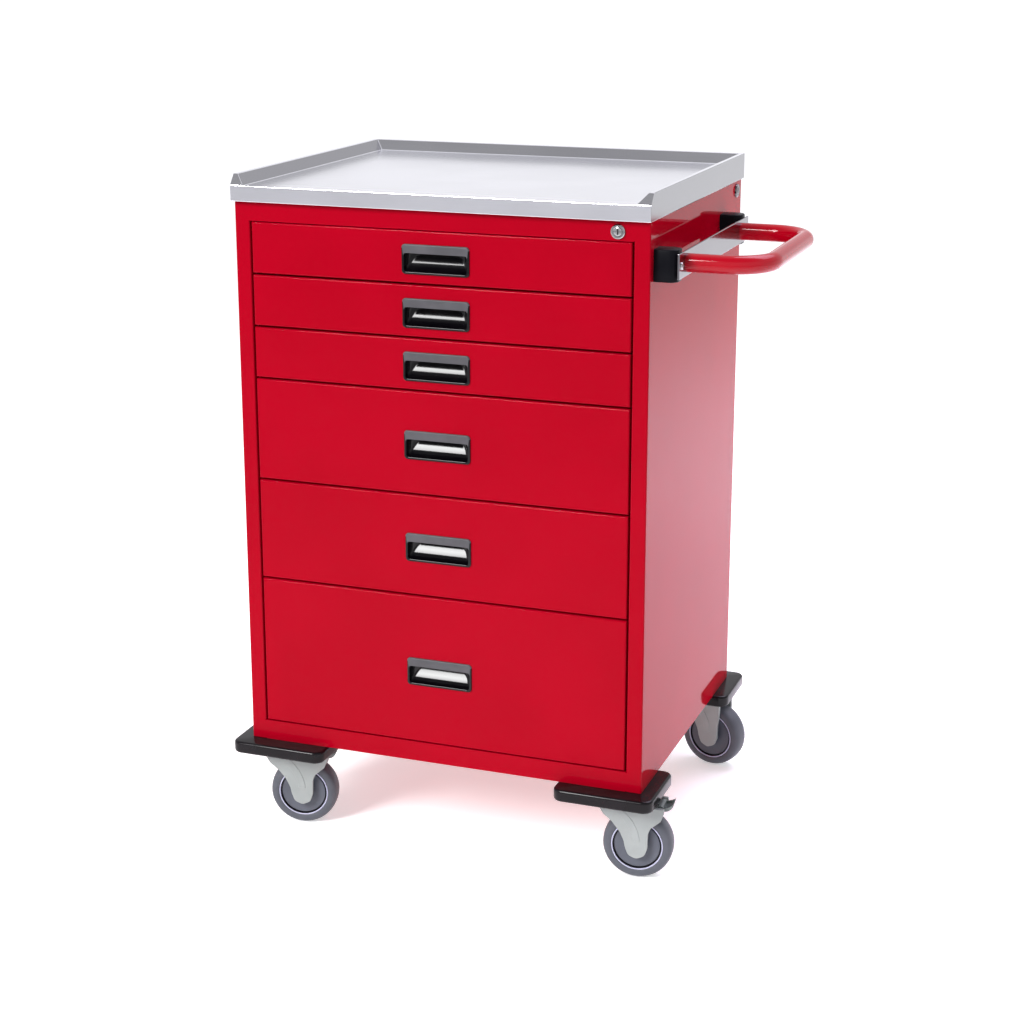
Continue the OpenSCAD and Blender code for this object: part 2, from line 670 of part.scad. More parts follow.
rail_x = cab_w + bracket_w;                  // inner face of the rail
handle_y0 = rail_y0 + rail_l / 2 - handle_span / 2;
screw_y = 10;                                // screws' distance from the rail's ends
module at_rail_ends(inset) for (y = [rail_y0 + inset, rail_y0 + rail_l - inset])
    translate([0, y, 0]) children();
module rail_brackets() in_cart() color(black) at_rail_ends(bracket_l / 2)
    translate([0, 0, rail_z - bracket_h / 2]) linear_extrude(bracket_h) intersection() {
        round_rect([cab_w - 20, -bracket_l / 2], [rail_x, bracket_l / 2], bracket_r);
        translate([cab_w, -bracket_l / 2]) square([bracket_w, bracket_l]);
    }
module accessory_rail() in_cart() color(steel) translate([rail_x, rail_y0, rail_z - rail_h / 2])
    cube([rail_t, rail_l, rail_h]);
module rail_screws() in_cart() color(steel) at_rail_ends(screw_y)
    translate([rail_x + rail_t, 0, rail_z]) rotate([0, 90, 0]) difference() {
        cylinder(d = 10, h = 2.5);
        translate([0, 0, 1.5]) {
            cube([6, 1.4, 4], center = true);
            cube([1.4, 6, 4], center = true);
        }
    }

// Tube bent to a U in a level plane
module tube_ring() difference() {
    circle(d = tube_d);
    circle(d = tube_d - 2 * tube_wall);
}
module push_handle() in_cart() color(red)
    translate([rail_x + rail_t, handle_y0, rail_z]) {
        run = handle_reach - handle_bend;
        bar = handle_span - 2 * handle_bend;
        for (y = [0, handle_span]) translate([0, y, 0]) rotate([90, 0, 90])
            linear_extrude(run) tube_ring();
        translate([handle_reach, handle_bend, 0]) rotate([-90, 0, 0])
            linear_extrude(bar) tube_ring();
        translate([run, handle_bend, 0]) rotate([0, 0, -90])
            rotate_extrude(angle = 90, $fn = 96) translate([handle_bend, 0]) tube_ring();
        translate([run, handle_span - handle_bend, 0])
            rotate_extrude(angle = 90, $fn = 96) translate([handle_bend, 0]) tube_ring();
    }

side_panel_left();
side_panel_right();
back_panel();
floor_pan();
top_rail();
worktop();
corner_bumpers();
caster_mounts();
slide_uprights();
outer_slides();
rail_brackets();
accessory_rail();
push_handle();
rail_screws();
lock_housings();
front_lock_barrel();
side_lock_barrel();
lock_bar();
for (k = [1 : drawer_count]) {
    drawer_front(k);
    drawer_box(k);
    drawer_pull(k);
    drawer_mid_slides(k);
}
for (slot = SLOTS) {
    caster_fork(slot);
    caster_axle(slot);
    caster_core(slot);
    caster_tyre(slot);
}
brake_pedal("front_left");  // brake_pedal_front_left
brake_pedal("front_right");  // brake_pedal_front_right
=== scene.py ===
# %% [markdown]
# # A hospital crash cart in Blender
# The cart arrives as a frame: exact solids in metres, grouped in bodies that move. This
# lesson gives the frame its finishes, and swaps the pieces that need soft edges, hollows
# or turned shapes for meshes of their own. Nothing is moved: positions come from the frame.

# %% The frame
import json
import math
import bmesh
import bpy
from mathutils import Matrix, Vector


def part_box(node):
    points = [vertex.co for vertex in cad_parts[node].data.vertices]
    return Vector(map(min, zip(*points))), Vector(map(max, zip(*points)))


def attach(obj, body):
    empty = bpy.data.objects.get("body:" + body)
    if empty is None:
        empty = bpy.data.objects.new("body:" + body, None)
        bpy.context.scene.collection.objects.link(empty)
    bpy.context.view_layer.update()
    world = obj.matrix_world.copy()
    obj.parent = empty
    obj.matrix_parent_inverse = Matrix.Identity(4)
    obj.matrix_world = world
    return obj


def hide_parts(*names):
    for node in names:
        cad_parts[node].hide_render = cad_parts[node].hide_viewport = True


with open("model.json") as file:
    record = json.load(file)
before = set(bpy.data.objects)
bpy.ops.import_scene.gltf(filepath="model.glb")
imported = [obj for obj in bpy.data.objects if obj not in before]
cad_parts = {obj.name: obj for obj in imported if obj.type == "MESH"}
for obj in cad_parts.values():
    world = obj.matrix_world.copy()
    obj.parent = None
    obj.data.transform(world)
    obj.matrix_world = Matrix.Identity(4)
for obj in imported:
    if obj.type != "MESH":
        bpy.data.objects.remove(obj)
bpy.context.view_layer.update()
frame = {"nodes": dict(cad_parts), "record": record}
nodes = frame["nodes"]

# %% [markdown]
# ## Places
# A drawing of a cabinet counts millimetres from its lower left front corner. The same way
# of counting is used here, and one helper turns it into the frame's metres. The corner is
# read from the left side panel, so it follows the frame.

# %% Places
MM = 0.001
corner = Vector(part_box("side_panel_left")[0])
DRAWERS = range(1, 7)
SLOTS = ["front_left", "front_right", "rear_left", "rear_right"]
joints = {j["name"]: j for j in frame["record"]["behaviour"]["joints"]}


def at(x, y, z):
    """A place in the frame, from the cabinet's lower left front corner in millimetres."""
    return corner + Vector((x, y, z)) * MM


def box_mm(node):
    """A node's lowest and highest corner, in the cabinet's millimetres."""
    return [(Vector(c) - corner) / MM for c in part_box(node)]


def local_frame(origin, turn=0.0):
    """Matrix that carries millimetres about a place into the frame, turned about Z."""
    return Matrix.Translation(origin) @ Matrix.Rotation(turn, 4, "Z") @ Matrix.Scale(MM, 4)


cab_w = box_mm("side_panel_right")[1].x
cab_d = box_mm("side_panel_right")[1].y
print("cabinet", round(cab_w, 1), "mm wide,", round(cab_d, 1), "mm deep")

# %% [markdown]
# ## Camera
# The camera stands to the right of the front and a little above the cart. It is aimed by
# azimuth and elevation, as a photographer would say it, and a slight vertical shift keeps
# the cabinet's upright edges almost parallel.

# %% Camera
AZIMUTH, ELEVATION = math.radians(20.14), math.radians(15.0)
AIM_MM = (300, 222, 420)
BACK_MM, RIGHT_MM, DOWN_MM = 3006.3, 26.3, 24.3
SENSOR_MM, FOCAL_SHARE, SHIFT_Y = 36, 2029.35 / 1024, -0.05
back = Vector((math.sin(AZIMUTH) * math.cos(ELEVATION),
               -math.cos(AZIMUTH) * math.cos(ELEVATION), math.sin(ELEVATION)))
right = Vector((math.cos(AZIMUTH), math.sin(AZIMUTH), 0))
up = back.cross(right)
camera = bpy.data.objects.new("camera", bpy.data.cameras.new("camera"))
camera.data.sensor_width = SENSOR_MM
camera.data.lens = FOCAL_SHARE * SENSOR_MM
camera.data.shift_y = SHIFT_Y
camera.data.clip_start, camera.data.clip_end = 0.05, 100
camera.location = at(*AIM_MM) + (back * BACK_MM + right * RIGHT_MM - up * DOWN_MM) * MM
camera.rotation_mode = "QUATERNION"
camera.rotation_quaternion = (-back).to_track_quat("-Z", "Y")
bpy.context.scene.collection.objects.link(camera)
bpy.context.scene.camera = camera
bpy.context.scene.view_settings.view_transform = "Standard"
print("camera lens", round(camera.data.lens, 1), "mm")

# %% [markdown]
# ## Shader sums
# A finish is mostly arithmetic on textures. Placing a Math node for each sum hides the
# idea, so a small class wraps a socket and lets Python's own signs add the nodes. Every
# other node comes from one method, which sets its settings first and its sockets after.


# %% Shader sums
class Value:
    """A socket in a finish. Sums on it add Math nodes."""

    def __init__(self, finish, socket):
        self.finish, self.socket = finish, socket

    def math(self, operation, *terms):
        return self.finish.node("ShaderNodeMath", {"operation": operation},
                                dict(enumerate(terms)))

    def __add__(self, other): return self.math("ADD", self, other)
    def __sub__(self, other): return self.math("SUBTRACT", self, other)
    def __rsub__(self, other): return self.math("SUBTRACT", other, self)
    def __mul__(self, other): return self.math("MULTIPLY", self, other)
    def __gt__(self, other): return self.math("GREATER_THAN", self, other)
    def __abs__(self): return self.math("ABSOLUTE", self)
    __radd__, __rmul__ = __add__, __mul__

    def step(self, low, high):
        """0 below low, 1 above high, and smooth between."""
        return self.finish.node("ShaderNodeMapRange", {"interpolation_type": "SMOOTHSTEP"},
                                {"Value": self, "From Min": low, "From Max": high})


class Finish:
    """A material. Plain numbers go straight to the shader's sockets."""

    def __init__(self, name, **sockets):
        self.material = bpy.data.materials.new(name)
        self.material.use_nodes = True
        self.tree = self.material.node_tree
        self.shader = self.tree.nodes["Principled BSDF"]
        self.feed(**sockets)

    def put(self, socket, value):
        if isinstance(value, Value):
            self.tree.links.new(value.socket, socket)
        elif isinstance(value, tuple) and len(value) == 3 and socket.type == "RGBA":
            socket.default_value = (*value, 1)
        else:
            socket.default_value = value

    def feed(self, **sockets):
        for name, value in sockets.items():
            self.put(self.shader.inputs[name.replace("_", " ")], value)

    def node(self, kind, settings=None, sockets=None, output=0):
        made = self.tree.nodes.new(kind)
        for name, value in (settings or {}).items():
            setattr(made, name, value)
        for key, value in (sockets or {}).items():
            self.put(made.inputs[key], value)
        return Value(self, made.outputs[output])

    def place(self, scale=(1, 1, 1)):
        """Object coordinates in millimetres, each axis scaled."""
        raw = self.node("ShaderNodeTexCoord", output="Object")
        return self.node("ShaderNodeMapping", {"vector_type": "POINT"},
                         {"Vector": raw, "Scale": tuple(1000 * s for s in scale)})

    def noise(self, size, scale=(1, 1, 1), detail=2.0, roughness=0.5):
        """Noise from 0 to 1 whose features are about size millimetres."""
        return self.node("ShaderNodeTexNoise", {}, {
            "Vector": self.place(scale), "Scale": 1 / size, "Detail": detail,
            "Roughness": roughness})

    def cells(self, size, output="Distance"):
        return self.node("ShaderNodeTexVoronoi", {}, {
            "Vector": self.place(), "Scale": 1 / size}, output)

    def blend(self, factor, first, second):
        return self.node("ShaderNodeMix", {"data_type": "RGBA"},
                         {0: factor, 6: first, 7: second}, 2)

    def bump(self, height, depth_mm):
        return self.node("ShaderNodeBump", {}, {
            "Strength": 1.0, "Distance": depth_mm * MM, "Height": height}, "Normal")


# %% [markdown]
# ## Powder coat
# Powder is sprayed on dry and melted in an oven, which leaves a deep glossy colour with a
# faint orange peel: ripples a few millimetres across and some microns high. A clear coat
# layer over a saturated base gives the mirror-like look at a shallow angle, while seen
# straight on the colour stays full.


# %% Powder coat
def powder_coat(name, colour, deep, gloss, peel, coat_ior=1.14):
    f = Finish(name, Specular_IOR_Level=0.0, Coat_IOR=coat_ior, Coat_Roughness=gloss,
               Coat_Weight=1.0)
    ripple = f.noise(5.0, detail=1.0)
    fine = f.noise(0.9, detail=2.0)
    tone = f.noise(140.0, detail=2.0)
    f.feed(Base_Color=f.blend(tone.step(0.3, 0.7), colour, deep),
           Roughness=0.30 + 0.08 * fine,
           Normal=f.bump(ripple * 0.75 + fine * 0.25, peel))
    return f.material


red_coat = powder_coat("red_powder_coat", (0.33, 0.0002, 0.0095), (0.31, 0.0002, 0.0085),
                       0.04, 0.020)
# The handle's copy of the red coat has a lighter base, which is painted light for the brighter
# look of the round tube, and a glossier clear coat.
tube_coat_painted_light = powder_coat("handle_coat_painted_light", (0.37, 0.0002, 0.0095), (0.35, 0.0002, 0.0085),
                        0.06, 0.012, coat_ior=1.38)
box_coat = powder_coat("drawer_box_paint", (0.38, 0.0020, 0.012), (0.35, 0.0016, 0.010),
                       0.20, 0.035)


# %% [markdown]
# ## Metals
# Brushed stainless steel has fine scratches all one way. Noise squeezed hard across the
# scratches gives them, and moves both the roughness and the height. The scratches run
# along the worktop's length, and along the depth on its side aprons, where the surface
# faces sideways. A surface that faces right has its colour painted darker, as painted
# shade. Zinc plate has a soft grain, and chrome and the rail are nearly mirrors.


# %% Metals
# The second number darkens the colour of steel that faces right: painted shade.
SIDE_ON, RIGHT_FACE_PAINTED_SHADE, CLOUD_TONE = 0.6, 0.37, 0.92


def brushed(name, colour, rough, spread, grain, along="x", second=None):
    f = Finish(name, Metallic=1.0, IOR=2.0)
    streak = {"x": (0.012, 1, 1), "y": (1, 0.012, 1)}
    lines = f.noise(grain, streak[along], 3.0, 0.6)
    broad = f.noise(grain * 9, streak[along], 2.0)
    if second:
        facing = f.node("ShaderNodeNewGeometry", output="Normal")
        along_x = f.node("ShaderNodeSeparateXYZ", {}, {0: facing})
        sideways = abs(along_x) > SIDE_ON
        lines = lines * (1 - sideways) + f.noise(grain, streak[second], 3.0, 0.6) * sideways
        broad = broad * (1 - sideways) + f.noise(grain * 9, streak[second]) * sideways
    cloud = f.noise(150.0, detail=1.0)
    tone = 0.25 * broad.step(0.25, 0.75) + 0.75 * cloud.step(0.35, 0.65)
    base = f.blend(tone, tuple(CLOUD_TONE * c for c in colour), colour)
    if second:
        # Steel that faces right gets a darker copy of its colour: painted shade.
        base = f.blend(along_x > SIDE_ON, base, tuple(RIGHT_FACE_PAINTED_SHADE * c for c in colour))
    f.feed(Base_Color=base,
           Roughness=rough + spread * (lines - 0.5) + 0.04 * (cloud - 0.5),
           Normal=f.bump(lines, 0.0015))
    return f.material


def plated(name, colour, rough, mottle, size):
    f = Finish(name, Metallic=1.0, IOR=2.0)
    grain = f.cells(size, "Color")
    shade = f.node("ShaderNodeSeparateColor", {}, {0: grain})
    haze = f.noise(size * 3)
    f.feed(Base_Color=f.blend(shade * mottle, colour, tuple(0.72 * c for c in colour)),
           Roughness=rough + 0.10 * haze,
           Normal=f.bump(f.noise(size * 0.4), 0.003))
    return f.material


steel = brushed("stainless_steel", (0.92, 0.92, 0.965), 0.17, 0.09, 0.30, "x", "y")
# The rail faces right, and its colour is set dark against the bright light there: painted shade.
rail_metal_painted_shade = brushed("satin_rail", (0.28, 0.27, 0.29), 0.12, 0.04, 0.30, "y")
zinc = plated("zinc_plated_steel", (0.66, 0.67, 0.69), 0.28, 0.8, 3.0)
chrome = plated("chrome_plate", (0.46, 0.455, 0.465), 0.05, 0.35, 6.0)
# A darker copy of the chrome, for the lock on the right side panel: painted shade.
chrome_painted_shade = plated("chrome_plate_painted_shade", (0.17, 0.16, 0.165), 0.12, 0.5, 4.0)


# %% [markdown]
# ## Plastics and rubber
# Moulded plastic carries the grain of its mould: a fine pebble on the bumpers, brackets
# and caster forks, and a coarser one on the lip of a pull, where the fingers grip. The
# bowl of a pull is polished. The tyre is smooth rubber with faint dust.


# %% Plastics and rubber
def moulded(name, colour, worn, rough, grain, depth, **extra):
    f = Finish(name, **extra)
    pebble = f.cells(grain)
    fine = f.noise(grain * 0.5, detail=3.0)
    patch = f.noise(35.0, detail=3.0)
    f.feed(Base_Color=f.blend(patch.step(0.35, 0.75), colour, worn),
           Roughness=rough + 0.10 * (fine - 0.5) + 0.06 * (patch - 0.5),
           Normal=f.bump(pebble * 0.7 + fine * 0.3, depth))
    return f.material


bumper_black = moulded("bumper_plastic", (0.005, 0.004, 0.005), (0.008, 0.006, 0.008),
                       0.18, 0.9, 0.006, Specular_IOR_Level=0.20)
bracket_black = moulded("bracket_plastic", (0.004, 0.004, 0.006), (0.007, 0.007, 0.009),
                        0.34, 0.8, 0.018, Specular_IOR_Level=0.06)
pull_black = moulded("pull_plastic", (0.0016, 0.0012, 0.0022), (0.003, 0.0025, 0.0035),
                     0.08, 2.0, 0.002, Specular_IOR_Level=0.32)
# The lip's grey colour is partly painted sheen, for the light its upward curve catches; its
# coarser grain and roughness are real.
pull_grip_and_sheen = moulded("pull_grip_and_painted_sheen", (0.050, 0.048, 0.055), (0.070, 0.067, 0.076),
                    0.46, 1.1, 0.10)
fork_grey = moulded("fork_plastic", (0.265, 0.285, 0.28), (0.30, 0.32, 0.315),
                    0.36, 0.8, 0.012)
pedal_grey = moulded("pedal_plastic", (0.12, 0.14, 0.135), (0.15, 0.17, 0.165),
                     0.36, 0.8, 0.012)
core_grey = moulded("wheel_core_plastic", (0.066, 0.072, 0.094), (0.082, 0.088, 0.112),
                    0.42, 0.9, 0.02)
ring_light = moulded("wheel_ring_plastic", (0.46, 0.46, 0.62), (0.52, 0.52, 0.66),
                     0.35, 0.9, 0.01)
groove_black = moulded("wheel_groove", (0.004, 0.004, 0.008), (0.006, 0.006, 0.010),
                       0.5, 1.0, 0.01)
tyre_rubber = moulded("tyre_rubber", (0.058, 0.062, 0.078), (0.076, 0.080, 0.098),
                      0.50, 0.7, 0.03)
print("finishes:", len(bpy.data.materials))

# %% [markdown]
# ## Finishes on the frame
# The frame's own solids are exact, so most of them stay. Each has a material slot in its
# record, and gets the finish of that name.

# %% Finishes on the frame
FINISH = {"red_powder_coat": red_coat, "drawer_box_paint": box_coat, "stainless_steel": steel,
          "satin_rail": rail_metal_painted_shade, "zinc_plated_steel": zinc, "chrome_plate": chrome,
          "bumper_plastic": bumper_black, "bracket_plastic": bracket_black,
          "pull_plastic": pull_black, "fork_plastic": fork_grey,
          "wheel_core_plastic": core_grey, "tyre_rubber": tyre_rubber,
          "pedal_plastic": pedal_grey}
slot_of = {s["node"]: s["material_slot"] for s in frame["record"]["subparts"]}
body_of = {n: b for b, held in frame["record"]["behaviour"]["bodies"].items() for n in held}
for name, solid in nodes.items():
    for holder in solid.material_slots:
        holder.material = FINISH[slot_of[name]]
print("finished", len(nodes), "solids of the frame")

# %% [markdown]
# ## Making meshes
# Most pieces here are lofts: rings with the same number of points, joined in order. A
# lathe is a loft of circles. The helpers build in millimetres, carry the points into the
# frame, turn the faces outwards and leave the object itself at the origin.


# %% Making meshes
def loft(rings, loop=False):
    """Points and faces through the rings; the ends are capped unless it is a loop."""
    n = len(rings[0])
    faces = [[i * n + j, i * n + (j + 1) % n, k * n + (j + 1) % n, k * n + j]
             for i, k in zip(range(len(rings)), range(1, len(rings))) for j in range(n)]
    last = len(rings) - 1
    if loop:
        faces += [[last * n + j, last * n + (j + 1) % n, (j + 1) % n, j] for j in range(n)]
    else:
        faces += [list(range(n))[::-1], [last * n + j for j in range(n)]]
    return [p for ring in rings for p in ring], faces


def make(name, parts, matrix, body, finish, stands_for=(), choose=None, sharp=32):
    """A piece from (points, faces) parts in millimetres; choose(middle) picks a finish."""
    finishes = finish if isinstance(finish, list) else [finish]
    bm = bmesh.new()
    for points, faces in parts:
        made = [bm.verts.new(p) for p in points]
        for face in faces:
            if len({made[i] for i in face}) > 2:
                got = bm.faces.new([made[i] for i in face])
                got.material_index = choose(got.calc_center_median()) if choose else 0
    bmesh.ops.remove_doubles(bm, verts=bm.verts, dist=0.0005)
    bmesh.ops.recalc_face_normals(bm, faces=bm.faces)
    bm.transform(matrix)
    mesh = bpy.data.meshes.new(name)
    bm.to_mesh(mesh)
    bm.free()
    mesh.shade_smooth()
    mesh.set_sharp_from_angle(angle=math.radians(sharp))
    for material in finishes:
        mesh.materials.append(material)
    piece = bpy.data.objects.new(name, mesh)
    bpy.context.scene.collection.objects.link(piece)
    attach(piece, body)
    if stands_for:
        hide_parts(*stands_for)
    return piece


def soften(piece, width_mm, segments=2, angle=35):
    """Rounds the sharp edges, as a press, a file or a mould leaves them."""
    bevel = piece.modifiers.new("soft_edges", "BEVEL")
    bevel.width, bevel.segments = width_mm * MM, segments
    bevel.limit_method, bevel.angle_limit = "ANGLE", math.radians(angle)
    bevel.harden_normals = True


def outline(low, high, radius, steps=6):
    """Points round a rectangle with round corners, anticlockwise from the right side."""
    points = []
    for cx, cy, a in ((high[0], high[1], 0), (low[0], high[1], 90),
                      (low[0], low[1], 180), (high[0], low[1], 270)):
        ox = cx - radius if cx == high[0] else cx + radius
        oy = cy - radius if cy == high[1] else cy + radius
        points += [(ox + radius * math.cos(math.radians(a + 90 * i / steps)),
                    oy + radius * math.sin(math.radians(a + 90 * i / steps)))
                   for i in range(steps + 1)]
    return points


def turned(profile, segments=96):
    """A closed profile of (radius, height) pairs turned about Z."""
    circle = [2 * math.pi * i / segments for i in range(segments)]
    return loft([[(r * math.cos(a), r * math.sin(a), z) for a in circle] for r, z in profile],
                loop=True)


def rounded_path(corners, radii, steps=5):
    """A closed 2-D path whose corners are rounded, each by its own radius."""
    path = []
    for i, here in enumerate(corners):
        here, r = Vector(here), radii[i]
        back_to, on_to = Vector(corners[i - 1]), Vector(corners[(i + 1) % len(corners)])
        a, b = (back_to - here).normalized(), (on_to - here).normalized()
        half = a.angle(b) / 2
        if r <= 0 or half > 1.55:
            path.append(tuple(here))
            continue
        cut = min(r / math.tan(half), 0.49 * (back_to - here).length, 0.49 * (on_to - here).length)
        p, q = here + a * cut, here + b * cut
        path += [tuple(p * (1 - t) ** 2 + here * 2 * t * (1 - t) + q * t ** 2)
                 for t in (k / steps for k in range(steps + 1))]
    return path


# %% [markdown]
# ## Sheet metal with real edges
# A sheared and folded sheet never has a knife edge. The frame's solids are loose
# triangles, which a Bevel modifier can't follow, so a copy is merged, its flat parts
# dissolved, and the bevel works on that. Normals weighted by area keep the shading of a
# wide flat face from leaning towards its narrow bevels. Thin strips close the seams where
# the two rails meet the stiles, as a weld that is ground flush does.


# %% Sheet metal
def merged_copy(node, width_mm, segments=2):
    """A copy of a solid with joined faces and soft edges, in the solid's place."""
    bm = bmesh.new()
    bm.from_mesh(nodes[node].data)
    bmesh.ops.remove_doubles(bm, verts=bm.verts, dist=1e-5)
    bmesh.ops.dissolve_limit(bm, angle_limit=math.radians(0.5), verts=bm.verts, edges=bm.edges)
    points = [tuple(v.co) for v in bm.verts]
    faces = [[v.index for v in f.verts] for f in bm.faces]
    bm.free()
    piece = make(node + "_sheet", [(points, faces)], Matrix.Identity(4), body_of[node],
                 FINISH[slot_of[node]], [node])
    soften(piece, width_mm, segments)
    flatten = piece.modifiers.new("flat_sheets", "WEIGHTED_NORMAL")
    flatten.mode, flatten.weight, flatten.keep_sharp = "FACE_AREA", 100, True
    return piece


merged_copy("worktop", 0.9, 3)
merged_copy("accessory_rail", 0.7, 3)
for k in DRAWERS:
    merged_copy(f"drawer_{k}_front", 0.9)
for side in ("left", "right"):
    merged_copy(f"side_panel_{side}", 0.7)
pan_low, pan_high = box_mm("floor_pan")
rail_low, rail_high = box_mm("top_rail")
WELD_HALF, WELD_PROUD, WELD_DEEP, WELD_INSET = 4.0, 0.05, 0.6, 0.8
welds = [loft([[(x + side, y, z) for side, z in ((-WELD_HALF, low), (WELD_HALF, low),
                                                 (WELD_HALF, high), (-WELD_HALF, high))]
               for y in (-WELD_PROUD, WELD_DEEP)])
         for x in (rail_low.x, rail_high.x)
         for low, high in ((pan_low.z + WELD_INSET, pan_high.z - WELD_INSET),
                           (rail_low.z + WELD_INSET, rail_high.z))]
make("ground_welds", welds, local_frame(corner), "cabinet", red_coat)
print("softened the sheets that show")

# %% [markdown]
# ## Push handle
# The handle is one tube bent to a U. A sweep along a path is Geometry Nodes' home ground:
# the bare path has only two corners, and the tree rounds them, sweeps the tube's circle
# along and closes the ends. Its sizes are named inputs, so a thicker tube is one number.


# %% Node tree helper
def node_group(name, inputs):
    """A geometry tree with named inputs after the geometry; returns it and its ends."""
    tree = bpy.data.node_groups.new(name, "GeometryNodeTree")
    tree.interface.new_socket("Geometry", in_out="INPUT", socket_type="NodeSocketGeometry")
    tree.interface.new_socket("Geometry", in_out="OUTPUT", socket_type="NodeSocketGeometry")
    for label, kind in inputs.items():
        tree.interface.new_socket(label, in_out="INPUT", socket_type="NodeSocket" + kind)
    return tree, tree.nodes.new("NodeGroupInput"), tree.nodes.new("NodeGroupOutput")


def grown(name, tree, values, base, body, stands_for=()):
    """Runs a tree on a base mesh and keeps the result as one plain mesh."""
    host = bpy.data.objects.new(name + "_host", base)
    bpy.context.scene.collection.objects.link(host)
    modifier = host.modifiers.new(name, "NODES")
    modifier.node_group = tree
    for item in tree.interface.items_tree:
        if item.in_out == "INPUT" and item.name in values:
            modifier[item.identifier] = values[item.name]
    graph = bpy.context.evaluated_depsgraph_get()
    mesh = bpy.data.meshes.new_from_object(host.evaluated_get(graph), depsgraph=graph)
    mesh.name = name
    bpy.data.objects.remove(host)
    piece = bpy.data.objects.new(name, mesh)
    bpy.context.scene.collection.objects.link(piece)
    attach(piece, body)
    if stands_for:
        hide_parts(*stands_for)
    print(name, len(mesh.polygons), "faces")
    return piece


# %% Push handle
BEND_STEPS, TUBE_SIDES, BEND_RADIUS_M = 28, 40, 0.055


def tube_tree():
    tree, start, end = node_group("bent_tube", {
        "Tube radius": "Float", "Bend radius": "Float", "Finish": "Material"})
    add, link = tree.nodes.new, tree.links.new
    curve, fillet = add("GeometryNodeMeshToCurve"), add("GeometryNodeFilletCurve")
    circle, sweep = add("GeometryNodeCurvePrimitiveCircle"), add("GeometryNodeCurveToMesh")
    smooth, real = add("GeometryNodeSetShadeSmooth"), add("GeometryNodeRealizeInstances")
    dress = add("GeometryNodeSetMaterial")
    fillet.mode = "POLY"
    fillet.inputs["Count"].default_value = BEND_STEPS
    circle.inputs["Resolution"].default_value = TUBE_SIDES
    sweep.inputs["Fill Caps"].default_value = True
    link(start.outputs["Geometry"], curve.inputs["Mesh"])
    link(curve.outputs["Curve"], fillet.inputs["Curve"])
    link(start.outputs["Bend radius"], fillet.inputs["Radius"])
    link(start.outputs["Tube radius"], circle.inputs["Radius"])
    link(fillet.outputs["Curve"], sweep.inputs["Curve"])
    link(circle.outputs["Curve"], sweep.inputs["Profile Curve"])
    link(sweep.outputs["Mesh"], smooth.inputs["Geometry"])
    link(smooth.outputs["Geometry"], real.inputs["Geometry"])
    link(real.outputs["Geometry"], dress.inputs["Geometry"])
    link(start.outputs["Finish"], dress.inputs["Material"])
    link(dress.outputs["Geometry"], end.inputs["Geometry"])
    return tree


tube_low, tube_high = box_mm("push_handle")
tube_r = (tube_high.z - tube_low.z) / 2
level = (tube_low.z + tube_high.z) / 2
legs = (tube_low.y + tube_r, tube_high.y - tube_r)
bar_x = tube_high.x - tube_r
path = bpy.data.meshes.new("handle_path")
path.from_pydata([at(tube_low.x, legs[0], level), at(bar_x, legs[0], level),
                  at(bar_x, legs[1], level), at(tube_low.x, legs[1], level)],
                 [(0, 1), (1, 2), (2, 3)], [])
handle = grown("push_handle_tube", tube_tree(),
               {"Tube radius": tube_r * MM, "Bend radius": BEND_RADIUS_M,
                "Finish": tube_coat_painted_light},
               path, "cabinet", ["push_handle"])
handle.data.set_sharp_from_angle(angle=math.radians(40))

# %% [markdown]
# ## Rail screws
# One pan-head screw holds the rail to each bracket. They repeat, so the head is modelled
# once, with its cross recess cut by a Boolean, and a tree sets it on a line of points.

# %% Rail screws
screw_low, screw_high = box_mm("rail_screws")
head_r = (screw_high.z - screw_low.z) / 2
head_h = screw_high.x - screw_low.x
dome = [(0.01, 0), (head_r, 0), (head_r, 0.25 * head_h), (0.93 * head_r, 0.62 * head_h),
        (0.76 * head_r, 0.88 * head_h), (0.5 * head_r, head_h), (0.01, head_h)]
ring40 = [2 * math.pi * i / 40 for i in range(40)]
screw_rings = [[(z, r * math.cos(a), r * math.sin(a)) for a in ring40] for r, z in dome]


def plain_mesh(name, parts, matrix=Matrix.Scale(MM, 4)):
    bm = bmesh.new()
    for points, faces in parts:
        made = [bm.verts.new(p) for p in points]
        for face in faces:
            bm.faces.new([made[i] for i in face])
    bmesh.ops.recalc_face_normals(bm, faces=bm.faces)
    bm.transform(matrix)
    mesh = bpy.data.meshes.new(name)
    bm.to_mesh(mesh)
    bm.free()
    return mesh


def cross_bars(reach, half, depth, top):
    """The two bars of a cross recess, pointing along X."""
    parts = []
    for a, b in ((reach, half), (half, reach)):
        parts.append(loft([[(x, -a * k, -b * k), (x, a * k, -b * k),
                            (x, a * k, b * k), (x, -a * k, b * k)]
                           for x, k in ((top - depth, 0.55), (top + 0.5, 1.1))]))
    return parts


head = bpy.data.objects.new("screw_head", plain_mesh("screw_head", [loft(screw_rings)]))
cross = cross_bars(reach=2.9, half=0.75, depth=1.3, top=head_h)
recess = bpy.data.objects.new("screw_recess", plain_mesh("screw_recess", cross))
for cutter in (head, recess):
    bpy.context.scene.collection.objects.link(cutter)
cut = head.modifiers.new("cross", "BOOLEAN")
cut.object, cut.operation, cut.solver, cut.use_self = recess, "DIFFERENCE", "EXACT", True
graph = bpy.context.evaluated_depsgraph_get()
head_mesh = bpy.data.meshes.new_from_object(head.evaluated_get(graph), depsgraph=graph)
head.modifiers.clear()
head.data = head_mesh
bpy.data.objects.remove(recess)


